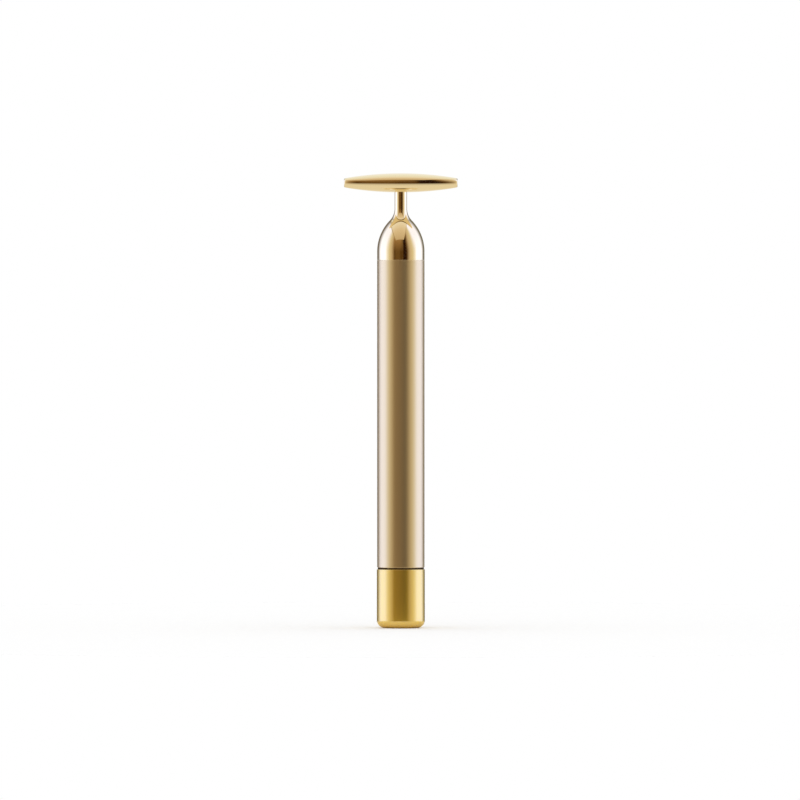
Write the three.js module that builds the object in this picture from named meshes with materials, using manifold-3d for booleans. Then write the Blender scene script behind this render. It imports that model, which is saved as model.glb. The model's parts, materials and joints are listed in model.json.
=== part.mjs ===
// Vibrating beauty bar: a T-shaped massage head on a slim handle that holds one AA cell and a motor.
// Millimetres, +Z up along the bar, origin at the centre of the tail cap's flat base.
// The rest pose is the cap screwed fully home, which is the bar switched on.
import * as THREE from 'three';
import { mergeVertices } from 'three/addons/utils/BufferGeometryUtils.js';
import Module from 'manifold-3d';

const wasm = await Module();
wasm.setup();

// Facets on round pieces
const FINE = 32;
const MEDIUM = 20;
const COARSE = 12;
const ARC_STEPS = 5;

// Small clearances and the overrun that every cut shares
const OVERRUN = 1;
const FIT = 0.1;
const HAIRLINE = 0.05;
const SLIP = 0.2;

// Handle tube
const HANDLE_D = 16.5;
const BARREL_EDGE_R = 0.15;
const BARREL_WALL = 0.75;
const BORE_STEP = 0.2;

// Tail cap
const CAP_H = 20.5;
const CAP_PROUD = 0.12;
const CAP_CORNER_R = 2.6;
const CAP_CHAMFER = 0.2;
const CAP_BORE_DEPTH = 8.9;
const CAP_WALL = 1.05;
const SEAM_GAP = 0.5;

// Thread between the cap insert and the barrel's mouth
const THREAD_PITCH = 1.5;
const THREAD_START = 0.8;
const THREAD_TURNS = 3;
const THREAD_STEPS = 20;
const THREAD_SINK = 0.3;
const RIDGE_H = 0.4;
const RIDGE_ROOT_W = 0.7;
const RIDGE_CREST_W = 0.35;
const THREAD_SIDE_PLAY = 0.13;
const THREAD_FADE_STEPS = 5;
const GROOVE_RUNOUT_TURNS = 0.2;
const SPIGOT_H = 6.2;
const SPIGOT_WALL = 1.7;
const INSERT_FLOOR = 2;

// Black ring in the seam
const RING_SETBACK = 0.2;
const RING_H = 0.36;

// Tail spring
const SPRING_WIRE_D = 0.8;
const SPRING_SIDE_GAP = 0.6;
const SPRING_TOP_SHARE = 0.7;
const SPRING_TURNS = 7;
const SPRING_STEPS = 8;
const SPRING_SIDES = 5;
const SPRING_SEAT_GAP = 0.2;
const SPRING_TOP_GAP = 0.3;

// AA cell
const CELL_L = 50.5;
const CELL_CLEARANCE = 0.3;
const CELL_LIFT = 0.7;
const NUB_R_SHARE = 0.39;
const NUB_H = 1.1;
const CELL_BASE_INSET = 1.8;
const CELL_BASE_H = 1.5;
const CELL_SEAL_W = 0.8;
const CELL_RIM = 0.2;
const JACKET_T = 0.15;

// Contact carrier above the cell
const NUB_GAP = 0.2;
const CARRIER_ABOVE_NUB = 0.65;
const CARRIER_H = 3;
const CARRIER_RIM = 3.5;
const CONTACT_T = 0.4;
const CONTACT_RECESS_H = 0.8;
const DIMPLE_TIP_SHARE = 0.35;
const DIMPLE_SHARE = 0.47;
const STUD_R = 0.6;
const STUD_PROUD = 1.2;

// Chassis, a moulded tube in two halves
const CHASSIS_L = 37.4;
const ROOM_WALL = 1.9;
const LOWER_ROOM_H = 6.2;
const UPPER_ROOM_H = 3.5;
const CHANNEL_PLACE_SHARE = 0.48;
const CHANNEL_W = 2;

// Chassis screws
const SCREW_R = 0.8;
const SCREW_HEAD_R = 1.5;
const SCREW_HEAD_H = 1.2;
const SCREW_HEAD_DEPTH = 0.9;
const SCREW_L_SHARE = 1.25;
const SCREW_PLACE_SHARES = [0.25, 0.8];
const SCREW_SLOT_SHARE = 0.45;

// Ground contact leaf
const LEAF_T = 0.3;
const LEAF_W = 2;
const LEAF_H = 5.4;
const LEAF_REACH = 3.1;
const LEAF_ABOVE_CARRIER = 2.5;

// Motor
const CHASSIS_WALL = 1.3;
const MOTOR_FLAT_SHARE = 5 / 6;
const MOTOR_L = 15;
const CAN_T = 0.5;
const SHAFT_R = 0.75;
const SHAFT_TAIL = 0.2;
const BUSH_R = 1.6;
const BUSH_L = 1.9;
const END_CAP_H = 1.6;
const MAGNET_T = 1.05;
const MAGNET_L = 8;
const MAGNET_HALF_ANGLE = 48; // degrees
const MAGNET_LIFT = 5.5;

// Rotor
const AIR_GAP = 0.6;
const CORE_L = 6.2;
const CORE_LIFT = 6.2;
const POLES = 3;
const POLE_NECK_W_SHARE = 0.3;
const POLE_SHOE_T_SHARE = 0.18;
const POLE_SHOE_HALF_ANGLE = 50; // degrees
const CORE_HUB_SHARE = 0.35;
const COIL_T_SHARE = 0.18;
const COIL_INNER_SHARE = 0.45;
const COIL_OUTER_SHARE = 0.7;
const COMMUTATOR_T = 0.65;
const COMMUTATOR_L = 2.4;
const COMMUTATOR_LIFT = 2.4;
const BRUSH_T = 0.2;
const BRUSH_L_SHARE = 0.88;
const BRUSH_H = 1.4;
const TERMINAL_T = 0.3;
const TERMINAL_W_SHARE = 0.31;
const TERMINAL_DROP = 2;

// Eccentric weight
const WEIGHT_CLEARANCE = 0.9;
const WEIGHT_HUB_R = 1.7;
const WEIGHT_L = 6.2;
const WEIGHT_GAP = 0.8;

// Dome and neck
const DOME_SKIRT_H = 3;
const DOME_ARC_R = 15.5;
const NECK_D = 4.3;
const NECK_FILLET_R = 6;
const NECK_TOP_ABOVE_BARREL = 24.8;
const DOME_SPIGOT_L = 5.5;
const DOME_SPIGOT_WALL = 1.4;
const DOME_BORE_L = 8;
const DOME_TAPER = 1.8;
const DOME_CEILING_H = 5.7;
const DOME_CLEARANCE = 3;
const O_RING_CORD = 0.7;
const O_RING_SIDES = 8;
const O_RING_SETBACK = 2.8;
const O_RING_GROOVE_W = 1.1;
const O_RING_GROOVE_DEPTH = 0.7;

// Screw that holds the head on the neck
const HEAD_SCREW_R = 1;
const HEAD_SCREW_HEAD_R = 1.9;
const HEAD_SCREW_HEAD_H = 1.5;
const HEAD_SCREW_INTO_HEAD = 3.1;
const HEX_R = 0.95;
const HEX_SIDES = 6;
const HEX_DEPTH = 0.8;

// Massage head
const HEAD_L = 39.5;
const HEAD_W = 11.5;
const HEAD_EDGE_ABOVE_BARREL = 26.95;
const CROWN_H = 3.31;
const CROWN_ARC_R = 111;
const BELLY_H = 3.39;
const BELLY_ARC_R = 115;
const SECTION_POWER = 2.4;
const TIP_W_SHARE = 0.45;
const TIP_POWER = 24;
const HEAD_RINGS = 20;
const HEAD_SPOKES = 24;

// Leads
const LEAD_D = 0.9;
const LEAD_SIDES = 8;
const LEAD_STEPS = 18;

// Places worked out from the sizes above
const handleR = HANDLE_D / 2;
const bayR = handleR - BARREL_WALL;
const upperR = bayR + BORE_STEP;
const capR = handleR + CAP_PROUD;
const capBoreR = handleR - CAP_WALL;
const barrelZ = CAP_H + SEAM_GAP;
const capSolidTop = CAP_H - CAP_BORE_DEPTH;
const spigotR = bayR - SLIP;
const springWellR = spigotR - SPIGOT_WALL;
const springFootR = springWellR - SPRING_SIDE_GAP - SPRING_WIRE_D / 2;
const cellR = bayR - CELL_CLEARANCE - JACKET_T - HAIRLINE;
const contactR = upperR - CARRIER_RIM - SLIP;
const spigotTop = barrelZ + SPIGOT_H;
const cellZ = spigotTop + CELL_LIFT;
const nubTop = cellZ + CELL_L;
const carrierZ = nubTop + CARRIER_ABOVE_NUB;
const carrierTop = carrierZ + CARRIER_H;
const bayTop = carrierZ - HAIRLINE;
const chassisZ = carrierTop + HAIRLINE;
const chassisTop = chassisZ + CHASSIS_L;
const barrelTop = chassisTop + DOME_CLEARANCE + DOME_SPIGOT_L;
const chassisR = upperR - SLIP;
const roomR = chassisR - ROOM_WALL;
const channelX = chassisR * CHANNEL_PLACE_SHARE;
const motorR = chassisR - CHASSIS_WALL - SLIP;
const motorFlat = motorR * MOTOR_FLAT_SHARE;
const motorZ = chassisTop - MOTOR_L - FIT;
const motorTop = motorZ + MOTOR_L;
const motorPocketZ = motorZ - FIT;
const lowerRoomTop = chassisZ + LOWER_ROOM_H;
const upperRoomZ = motorPocketZ - UPPER_ROOM_H;
const boreR = SHAFT_R + FIT;
const canInnerR = motorR - CAN_T;
const canInnerFlat = motorFlat - CAN_T;
const coreR = canInnerFlat - AIR_GAP;
const commutatorR = boreR + COMMUTATOR_T;
const neckR = NECK_D / 2;
const neckTop = barrelTop + NECK_TOP_ABOVE_BARREL;
const domeZ = barrelTop + HAIRLINE;
const domeBoreR = upperR - FIT - DOME_SPIGOT_WALL;
const ceilingZ = barrelTop - DOME_SPIGOT_L + DOME_BORE_L + DOME_CEILING_H;
const headEdgeZ = barrelTop + HEAD_EDGE_ABOVE_BARREL;
const bushTop = motorTop - CAN_T - FIT + BUSH_L;
const weightZ = bushTop + WEIGHT_GAP;
const shaftTop = weightZ + WEIGHT_L + SHAFT_TAIL;

// Finishes
function finish(color, roughness, metalness) {
  return new THREE.MeshStandardMaterial({ color, roughness, metalness });
}

const polishedGold = finish('#e8cf9a', 0.12, 1);
const satinGold = finish('#d9bd93', 0.38, 1);
const capGold = finish('#dcb564', 0.25, 1);
const blackRubber = finish('#17150f', 0.7, 0);
const brass = finish('#c9a24e', 0.35, 1);
const steel = finish('#b9bcbf', 0.35, 1);
const springSteel = finish('#c8cacc', 0.3, 1);
const jacketBlue = finish('#33527a', 0.45, 0);
const greyPlastic = finish('#6f7478', 0.6, 0);
const whitePlastic = finish('#e6e4dd', 0.55, 0);
const magnetGrey = finish('#4c4a49', 0.6, 0.2);
const copper = finish('#b5653a', 0.4, 1);
const redLeadFinish = finish('#b3261e', 0.5, 0);
const blackLeadFinish = finish('#1b1b1d', 0.5, 0);

const bar = new THREE.Group();

function piece(name, geometry, material) {
  const mesh = new THREE.Mesh(geometry, material);
  mesh.name = name;
  bar.add(mesh);
}

// Shared vertices, no flat triangles, faces pointing out
function closed(geometry) {
  geometry.deleteAttribute('normal');
  geometry.deleteAttribute('uv');
  const merged = mergeVertices(geometry);
  const at = merged.attributes.position;
  const corners = [new THREE.Vector3(), new THREE.Vector3(), new THREE.Vector3()];
  const kept = [];
  let volume = 0;
  for (let i = 0; i < merged.index.count; i += corners.length) {
    const abc = corners.map((corner, k) => merged.index.getX(i + k));
    if (new Set(abc).size < corners.length) continue;
    abc.forEach((vertex, k) => corners[k].fromBufferAttribute(at, vertex));
    volume += corners[0].dot(corners[1].clone().cross(corners[2]));
    kept.push(abc);
  }
  merged.setIndex(kept.flatMap((abc) => (volume < 0 ? abc.reverse() : abc)));
  return merged;
}

function solid(geometry) {
  const shape = closed(geometry);
  const vertProperties = new Float32Array(shape.attributes.position.array);
  const triVerts = new Uint32Array(shape.index.array);
  return new wasm.Manifold(new wasm.Mesh({ numProp: 3, vertProperties, triVerts }));
}

function geometryOf(manifold) {
  const { vertProperties, triVerts, numProp } = manifold.getMesh();
  const geometry = new THREE.BufferGeometry();
  geometry.setAttribute('position', new THREE.BufferAttribute(new Float32Array(vertProperties), numProp));
  geometry.setIndex(new THREE.BufferAttribute(new Uint32Array(triVerts), 1));
  return geometry;
}

// A turned piece from [radius, height] points up its outside and back down its inside
function turned(points, segments) {
  const profile = points.map(([r, z]) => new THREE.Vector2(r, z));
  const onAxis = points[0][0] === 0 && points.at(-1)[0] === 0;
  if (!onAxis) profile.push(profile[0].clone());
  const lathe = new THREE.LatheGeometry(profile, segments);
  lathe.rotateX(Math.PI / 2);
  return closed(lathe);
}

function ring(innerR, outerR, z, height, segments) {
  const top = z + height;
  return turned([[innerR, z], [outerR, z], [outerR, top], [innerR, top]], segments);
}

function disc(r, z, height, segments) {
  return turned([[0, z], [r, z], [r, z + height], [0, z + height]], segments);
}

// A box from its lowest corner to its highest
function block([x0, y0, z0], [x1, y1, z1]) {
  const box = new THREE.BoxGeometry(x1 - x0, y1 - y0, z1 - z0);
  box.translate((x0 + x1) / 2, (y0 + y1) / 2, (z0 + z1) / 2);
  return closed(box);
}

function upright(shape, z, height, curveSegments = COARSE) {
  const extruded = new THREE.ExtrudeGeometry(shape, { depth: height, bevelEnabled: false, curveSegments });
  extruded.translate(0, 0, z);
  return closed(extruded);
}

// Points of a circular arc as [radius, height], from one angle to another, in radians
function arc(centreR, centreZ, radius, from, to, steps = ARC_STEPS) {
  return Array.from({ length: steps + 1 }, (unused, i) => {
    const angle = from + ((to - from) * i) / steps;
    return [centreR + radius * Math.cos(angle), centreZ + radius * Math.sin(angle)];
  });
}

// A bar of tapered section wound up a right-hand helix, made by bending a straight box
function helixBar({ innerR, outerR, innerW, outerW, startZ, turns, fadeOut }) {
  const steps = Math.round(turns * THREAD_STEPS);
  const box = closed(new THREE.BoxGeometry(1, 1, 1, steps, 1, 1));
  const at = box.attributes.position;
  for (let i = 0; i < at.count; i += 1) {
    const along = at.getX(i) + 1 / 2;
    const outward = at.getY(i) + 1 / 2;
    const side = at.getZ(i);
    const stepsToEnd = Math.min(along, 1 - along) * steps;
    const height = fadeOut ? Math.min(1, (stepsToEnd + 1) / THREAD_FADE_STEPS) : 1;
    const angle = 2 * Math.PI * turns * along;
    const r = innerR + (outerR - innerR) * outward * height;
    const width = outward > 0 ? outerW : innerW;
    const z = startZ + THREAD_PITCH * turns * along + side * width;
    at.setXYZ(i, r * Math.cos(angle), r * Math.sin(angle), z);
  }
  return closed(box);
}

// Width of the ridge's flank lines carried on to another radius
function ridgeWidthAt(r) {
  const share = (r - spigotR) / RIDGE_H;
  return RIDGE_ROOT_W + (RIDGE_CREST_W - RIDGE_ROOT_W) * share;
}

function makeTailCap() {
  const quarter = arc(capR - CAP_CORNER_R, CAP_CORNER_R, CAP_CORNER_R, -Math.PI / 2, 0);
  const outside = [[0, 0], ...quarter, [capR, CAP_H - CAP_CHAMFER], [capR - CAP_CHAMFER, CAP_H]];
  const inside = [[capBoreR, CAP_H], [capBoreR, capSolidTop], [0, capSolidTop]];
  piece('tail_cap', turned([...outside, ...inside], FINE), capGold);
}

const insertZ = capSolidTop + FIT;
const springSeatZ = insertZ + INSERT_FLOOR;

function makeCapInsert() {
  const plugR = capBoreR - FIT;
  const shoulderZ = CAP_H + FIT;
  const plug = [[0, insertZ], [plugR, insertZ], [plugR, shoulderZ]];
  const spigot = [[spigotR, shoulderZ], [spigotR, spigotTop]];
  const well = [[springWellR, spigotTop], [springWellR, springSeatZ], [0, springSeatZ]];
  const crestR = spigotR + RIDGE_H;
  const ridge = helixBar({
    innerR: spigotR - THREAD_SINK,
    outerR: crestR,
    innerW: ridgeWidthAt(spigotR - THREAD_SINK),
    outerW: ridgeWidthAt(crestR),
    startZ: barrelZ + THREAD_START,
    turns: THREAD_TURNS,
    fadeOut: true,
  });
  const insert = solid(turned([...plug, ...spigot, ...well], FINE)).add(solid(ridge));
  piece('cap_insert', geometryOf(insert), brass);
}

function makeSealRing() {
  const z = CAP_H + HAIRLINE;
  piece('seal_ring', ring(spigotR + FIT, handleR - RING_SETBACK, z, RING_H, FINE), blackRubber);
}

// One unbroken wire up a narrowing helix, its ends cut square
function makeTailSpring() {
  const wireR = SPRING_WIRE_D / 2;
  const low = springSeatZ + SPRING_SEAT_GAP + wireR;
  const high = cellZ - SPRING_TOP_GAP - wireR;
  const steps = SPRING_TURNS * SPRING_STEPS;
  const centre = (share) => {
    const angle = 2 * Math.PI * SPRING_TURNS * share;
    const r = springFootR * (1 + (SPRING_TOP_SHARE - 1) * share);
    return new THREE.Vector3(r * Math.cos(angle), r * Math.sin(angle), low + (high - low) * share);
  };
  const corners = [];
  const faces = [];
  for (let i = 0; i <= steps; i += 1) {
    const middle = centre(i / steps);
    const outward = new THREE.Vector3(middle.x, middle.y, 0).normalize();
    for (let k = 0; k < SPRING_SIDES; k += 1) {
      const turn = (2 * Math.PI * k) / SPRING_SIDES;
      const corner = middle.clone().addScaledVector(outward, wireR * Math.cos(turn));
      corners.push(corner.x, corner.y, corner.z + wireR * Math.sin(turn));
      if (i === steps) continue;
      const here = i * SPRING_SIDES + k;
      const beside = i * SPRING_SIDES + ((k + 1) % SPRING_SIDES);
      faces.push(here, beside, here + SPRING_SIDES, beside, beside + SPRING_SIDES, here + SPRING_SIDES);
    }
  }
  const last = steps * SPRING_SIDES;
  for (let k = 1; k < SPRING_SIDES - 1; k += 1) {
    faces.push(0, k + 1, k, last, last + k, last + k + 1);
  }
  const wire = new THREE.BufferGeometry();
  wire.setAttribute('position', new THREE.BufferAttribute(new Float32Array(corners), 3));
  wire.setIndex(faces);
  const turnAbove = SPRING_STEPS / steps;
  let leastGap = Infinity;
  for (let i = 0; i + SPRING_STEPS <= steps; i += 1) {
    const apart = centre(i / steps).distanceTo(centre(i / steps + turnAbove));
    leastGap = Math.min(leastGap, apart - SPRING_WIRE_D);
  }
  console.log(`tail_spring: least gap to itself ${leastGap.toFixed(2)} mm`);
  piece('tail_spring', closed(wire), springSteel);
}

function makeCell() {
  const bodyZ = cellZ + CELL_RIM;
  const bodyTop = nubTop - NUB_H;
  const nubR = cellR * NUB_R_SHARE;
  const baseR = cellR - CELL_BASE_INSET;
  const sealR = baseR + FIT + CELL_SEAL_W;
  const recessR = sealR + FIT;
  const recessTop = cellZ + CELL_BASE_H + FIT;
  const outside = [[recessR, bodyZ], [cellR, bodyZ], [cellR, bodyTop], [nubR, bodyTop], [nubR, nubTop]];
  const can = turned([[0, recessTop], [recessR, recessTop], ...outside, [0, nubTop]], MEDIUM);
  piece('battery_can', can, steel);
  piece('battery_base', disc(baseR, cellZ, CELL_BASE_H, MEDIUM), steel);
  const sealH = recessTop - FIT - bodyZ;
  piece('battery_seal', ring(baseR + FIT, sealR, bodyZ, sealH, MEDIUM), greyPlastic);
  const jacketR = cellR + HAIRLINE;
  const jacket = ring(jacketR, jacketR + JACKET_T, bodyZ, bodyTop - bodyZ, MEDIUM);
  piece('battery_jacket', jacket, jacketBlue);
}

// The mouth has a rounded outer edge and the female thread, cut as a helical groove
function makeBarrel() {
  const edge = arc(handleR - BARREL_EDGE_R, barrelZ + BARREL_EDGE_R, BARREL_EDGE_R, -Math.PI / 2, 0);
  const inside = [[upperR, barrelTop], [upperR, bayTop], [bayR, bayTop], [bayR, barrelZ]];
  const tube = solid(turned([...edge, [handleR, barrelTop], ...inside], FINE));
  const innerR = bayR - THREAD_SINK;
  const outerR = spigotR + RIDGE_H + SLIP;
  const below = OVERRUN / THREAD_PITCH;
  const groove = helixBar({
    innerR,
    outerR,
    innerW: ridgeWidthAt(innerR) + 2 * THREAD_SIDE_PLAY,
    outerW: ridgeWidthAt(outerR) + 2 * THREAD_SIDE_PLAY,
    startZ: barrelZ + THREAD_START - Math.ceil(below) * THREAD_PITCH,
    turns: Math.ceil(below) + THREAD_TURNS + GROOVE_RUNOUT_TURNS,
    fadeOut: false,
  });
  piece('barrel', geometryOf(tube.subtract(solid(groove))), satinGold);
}

// A rod from front to back, along +Y from the given y
function rodAlongY(r, y, length, x, z, segments) {
  const rod = new THREE.CylinderGeometry(r, r, length, segments);
  rod.translate(x, y + length / 2, z);
  return closed(rod);
}

function makeContacts() {
  const rimR = upperR - FIT;
  const recessR = contactR + SLIP;
  const studHoleR = STUD_R + FIT;
  const ledgeZ = carrierZ + CONTACT_RECESS_H;
  const outside = [[recessR, carrierZ], [rimR, carrierZ], [rimR, carrierTop]];
  const inside = [[studHoleR, carrierTop], [studHoleR, ledgeZ], [recessR, ledgeZ]];
  piece('contact_carrier', turned([...outside, ...inside], FINE), whitePlastic);
  const tipZ = nubTop + NUB_GAP;
  const plateTop = ledgeZ - FIT;
  const plateZ = plateTop - CONTACT_T;
  const studTop = carrierTop + STUD_PROUD;
  const tip = [[0, tipZ], [contactR * DIMPLE_TIP_SHARE, tipZ]];
  const underside = [[contactR * DIMPLE_SHARE, plateZ], [contactR, plateZ]];
  const upperside = [[contactR, plateTop], [STUD_R, plateTop], [STUD_R, studTop], [0, studTop]];
  piece('positive_contact', turned([...tip, ...underside, ...upperside], COARSE), brass);
}

const leafZ = carrierTop + LEAF_ABOVE_CARRIER;
const leafOuterY = chassisR;

function makeGroundContact() {
  const half = LEAF_W / 2;
  const innerY = leafOuterY - LEAF_T;
  const leg = solid(block([-half, innerY, leafZ], [half, leafOuterY, leafZ + LEAF_H]));
  const foot = solid(block([-half, leafOuterY - LEAF_REACH, leafZ], [half, leafOuterY, leafZ + LEAF_T]));
  piece('ground_contact', geometryOf(leg.add(foot)), brass);
}

function flatSided(r, flat) {
  const reach = Math.sqrt(r * r - flat * flat);
  const angle = Math.atan2(flat, reach);
  const shape = new THREE.Shape();
  shape.absarc(0, 0, r, -angle, angle, false);
  shape.absarc(0, 0, r, Math.PI - angle, Math.PI + angle, false);
  shape.closePath();
  return shape;
}

const screwZs = SCREW_PLACE_SHARES.map((share) => lowerRoomTop + (upperRoomZ - lowerRoomTop) * share);
const screwHeadY = -chassisR + SCREW_HEAD_DEPTH;
const screwSeatY = screwHeadY + SCREW_HEAD_H;
const screwL = chassisR * SCREW_L_SHARE;

// Wiring rooms below and above a solid middle, lead channels, the motor's pocket and the screw holes
function makeChassis() {
  const cuts = [
    disc(roomR, chassisZ - OVERRUN, LOWER_ROOM_H + OVERRUN, MEDIUM),
    disc(roomR, upperRoomZ, UPPER_ROOM_H + FIT, MEDIUM),
    upright(flatSided(motorR + SLIP, motorFlat + SLIP), motorPocketZ, MOTOR_L + OVERRUN),
  ];
  for (const side of [-1, 1]) {
    const x = side * channelX;
    const half = CHANNEL_W / 2;
    cuts.push(block([x - half, -half, lowerRoomTop - FIT], [x + half, half, upperRoomZ + FIT]));
  }
  for (const z of screwZs) {
    cuts.push(rodAlongY(SCREW_R + FIT, screwHeadY, SCREW_HEAD_H + screwL + FIT, 0, z, COARSE));
    const sinkDepth = SCREW_HEAD_DEPTH + SCREW_HEAD_H + FIT;
    cuts.push(rodAlongY(SCREW_HEAD_R + SLIP, -chassisR - OVERRUN, sinkDepth + OVERRUN, 0, z, COARSE));
  }
  const half = LEAF_W / 2 + SLIP;
  const recessY = leafOuterY - LEAF_T - FIT;
  const slotY = leafOuterY - LEAF_REACH - FIT;
  const outsideY = chassisR + OVERRUN;
  cuts.push(block([-half, recessY, leafZ - FIT], [half, outsideY, leafZ + LEAF_H + FIT]));
  cuts.push(block([-half, slotY, leafZ - FIT], [half, outsideY, leafZ + LEAF_T + FIT]));
  const tube = solid(disc(chassisR, chassisZ, CHASSIS_L, FINE));
  const hollowed = cuts.reduce((rest, cut) => rest.subtract(solid(cut)), tube);
  const wide = chassisR + OVERRUN;
  const low = chassisZ - OVERRUN;
  const high = chassisTop + OVERRUN;
  const front = solid(block([-wide, -wide, low], [wide, -HAIRLINE, high]));
  const back = solid(block([-wide, HAIRLINE, low], [wide, wide, high]));
  piece('chassis_front', geometryOf(hollowed.intersect(front)), greyPlastic);
  piece('chassis_back', geometryOf(hollowed.intersect(back)), greyPlastic);
}

function makeChassisScrews() {
  screwZs.forEach((z, i) => {
    const head = solid(rodAlongY(SCREW_HEAD_R, screwHeadY, SCREW_HEAD_H, 0, z, COARSE));
    const shank = solid(rodAlongY(SCREW_R, screwSeatY - FIT, screwL + FIT, 0, z, COARSE));
    const slotDepth = SCREW_HEAD_H * SCREW_SLOT_SHARE;
    const halfSlot = SCREW_R / 3;
    const slotLow = [-SCREW_HEAD_R - OVERRUN, screwHeadY - OVERRUN, z - halfSlot];
    const slotHigh = [SCREW_HEAD_R + OVERRUN, screwHeadY + slotDepth, z + halfSlot];
    const screw = head.add(shank).subtract(solid(block(slotLow, slotHigh)));
    piece(`chassis_screw_${i + 1}`, geometryOf(screw), steel);
  });
}

const brushL = canInnerFlat * BRUSH_L_SHARE;
const terminalW = canInnerFlat * TERMINAL_W_SHARE;
const brushInnerX = commutatorR + FIT;
const terminalInnerX = brushInnerX + BRUSH_T + HAIRLINE;
const terminalY = brushL * 3 / 4 - terminalW;
const commutatorZ = motorZ + COMMUTATOR_LIFT;
const brushZ = commutatorZ + (COMMUTATOR_L - BRUSH_H) / 2;
const terminalZ = motorZ - TERMINAL_DROP;

function makeMotorBody() {
  const shell = solid(upright(flatSided(motorR, motorFlat), motorZ, MOTOR_L));
  const hollowH = MOTOR_L - CAN_T + OVERRUN;
  const hollow = solid(upright(flatSided(canInnerR, canInnerFlat), motorZ - OVERRUN, hollowH));
  const bushHole = solid(disc(BUSH_R + FIT, motorTop - CAN_T - OVERRUN, CAN_T + 2 * OVERRUN, COARSE));
  piece('motor_can', geometryOf(shell.subtract(hollow).subtract(bushHole)), steel);
  piece('motor_bush_front', ring(boreR, BUSH_R, bushTop - BUSH_L, BUSH_L, COARSE), brass);
  piece('motor_bush_rear', ring(boreR, BUSH_R, motorZ, BUSH_L, COARSE), brass);

  let endCap = solid(upright(flatSided(canInnerR - FIT, canInnerFlat - FIT), motorZ, END_CAP_H));
  endCap = endCap.subtract(solid(disc(BUSH_R + FIT, motorZ - OVERRUN, END_CAP_H + 2 * OVERRUN, COARSE)));
  ['left', 'right'].forEach((side, i) => {
    const turn = (geometry) => geometry.rotateZ((1 - i) * Math.PI);
    const low = [terminalInnerX, terminalY, terminalZ];
    const high = [terminalInnerX + TERMINAL_T, terminalY + terminalW, brushZ + BRUSH_H];
    const slotLow = low.map((value) => value - FIT);
    const slotHigh = high.map((value) => value + FIT);
    endCap = endCap.subtract(solid(turn(block(slotLow, slotHigh))));
    piece(`terminal_${side}`, turn(block(low, high)), brass);
    const brushLow = [brushInnerX, -brushL / 4, brushZ];
    const brushHigh = [brushInnerX + BRUSH_T, brushL * 3 / 4, brushZ + BRUSH_H];
    piece(`brush_${side}`, turn(block(brushLow, brushHigh)), copper);

    const outerR = canInnerR - FIT;
    const halfAngle = THREE.MathUtils.degToRad(MAGNET_HALF_ANGLE);
    const magnet = new THREE.Shape();
    magnet.absarc(0, 0, outerR, -halfAngle, halfAngle, false);
    magnet.absarc(0, 0, outerR - MAGNET_T, halfAngle, -halfAngle, true);
    magnet.closePath();
    piece(`magnet_${side}`, turn(upright(magnet, motorZ + MAGNET_LIFT, MAGNET_L)), magnetGrey);
  });
  piece('motor_end_cap', geometryOf(endCap), whitePlastic);
}

// Three poles with round shoes on narrow necks, each neck carrying one coil
function makeRotor() {
  const coreZ = motorZ + CORE_LIFT;
  const coreTop = coreZ + CORE_L;
  const shoeInnerR = coreR * (1 - POLE_SHOE_T_SHARE);
  const shoeAngle = THREE.MathUtils.degToRad(POLE_SHOE_HALF_ANGLE);
  const shoe = new THREE.Shape();
  shoe.absarc(0, 0, coreR, -shoeAngle, shoeAngle, false);
  shoe.absarc(0, 0, shoeInnerR, shoeAngle, -shoeAngle, true);
  shoe.closePath();
  const halfNeck = (coreR * POLE_NECK_W_SHARE) / 2;
  const coilT = coreR * COIL_T_SHARE;
  const coilInnerR = coreR * COIL_INNER_SHARE;
  const coilOuterR = coreR * COIL_OUTER_SHARE;
  let core = solid(disc(coreR * CORE_HUB_SHARE, coreZ, CORE_L, COARSE));
  for (let i = 0; i < POLES; i += 1) {
    const angle = (2 * Math.PI * i) / POLES;
    const neck = block([0, -halfNeck, coreZ], [shoeInnerR + FIT, halfNeck, coreTop]);
    core = core.add(solid(neck.rotateZ(angle))).add(solid(upright(shoe, coreZ, CORE_L).rotateZ(angle)));

    const holeLow = [coilInnerR - OVERRUN, -halfNeck - FIT, coreZ - FIT];
    const holeHigh = [coilOuterR + OVERRUN, halfNeck + FIT, coreTop + FIT];
    const bobbinLow = [coilInnerR, holeLow[1] - coilT, holeLow[2] - coilT];
    const bobbinHigh = [coilOuterR, holeHigh[1] + coilT, holeHigh[2] + coilT];
    const coil = solid(block(bobbinLow, bobbinHigh)).subtract(solid(block(holeLow, holeHigh)));
    piece(`armature_coil_${i + 1}`, geometryOf(coil).rotateZ(angle), copper);
  }
  core = core.subtract(solid(disc(boreR, coreZ - OVERRUN, CORE_L + 2 * OVERRUN, COARSE)));
  piece('armature_core', geometryOf(core), steel);
  piece('commutator', ring(boreR, commutatorR, commutatorZ, COMMUTATOR_L, COARSE), copper);
  const shaftZ = motorZ - SHAFT_TAIL;
  piece('rotor_shaft', disc(SHAFT_R, shaftZ, shaftTop - shaftZ, COARSE), springSteel);

  const fan = new THREE.Shape();
  fan.absarc(0, 0, domeBoreR - WEIGHT_CLEARANCE, 0, Math.PI, false);
  fan.closePath();
  const hub = solid(disc(WEIGHT_HUB_R, weightZ, WEIGHT_L, COARSE));
  const bore = solid(disc(boreR, weightZ - OVERRUN, WEIGHT_L + 2 * OVERRUN, COARSE));
  const weight = hub.add(solid(upright(fan, weightZ, WEIGHT_L))).subtract(bore);
  piece('eccentric_weight', geometryOf(weight), steel);
}

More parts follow.
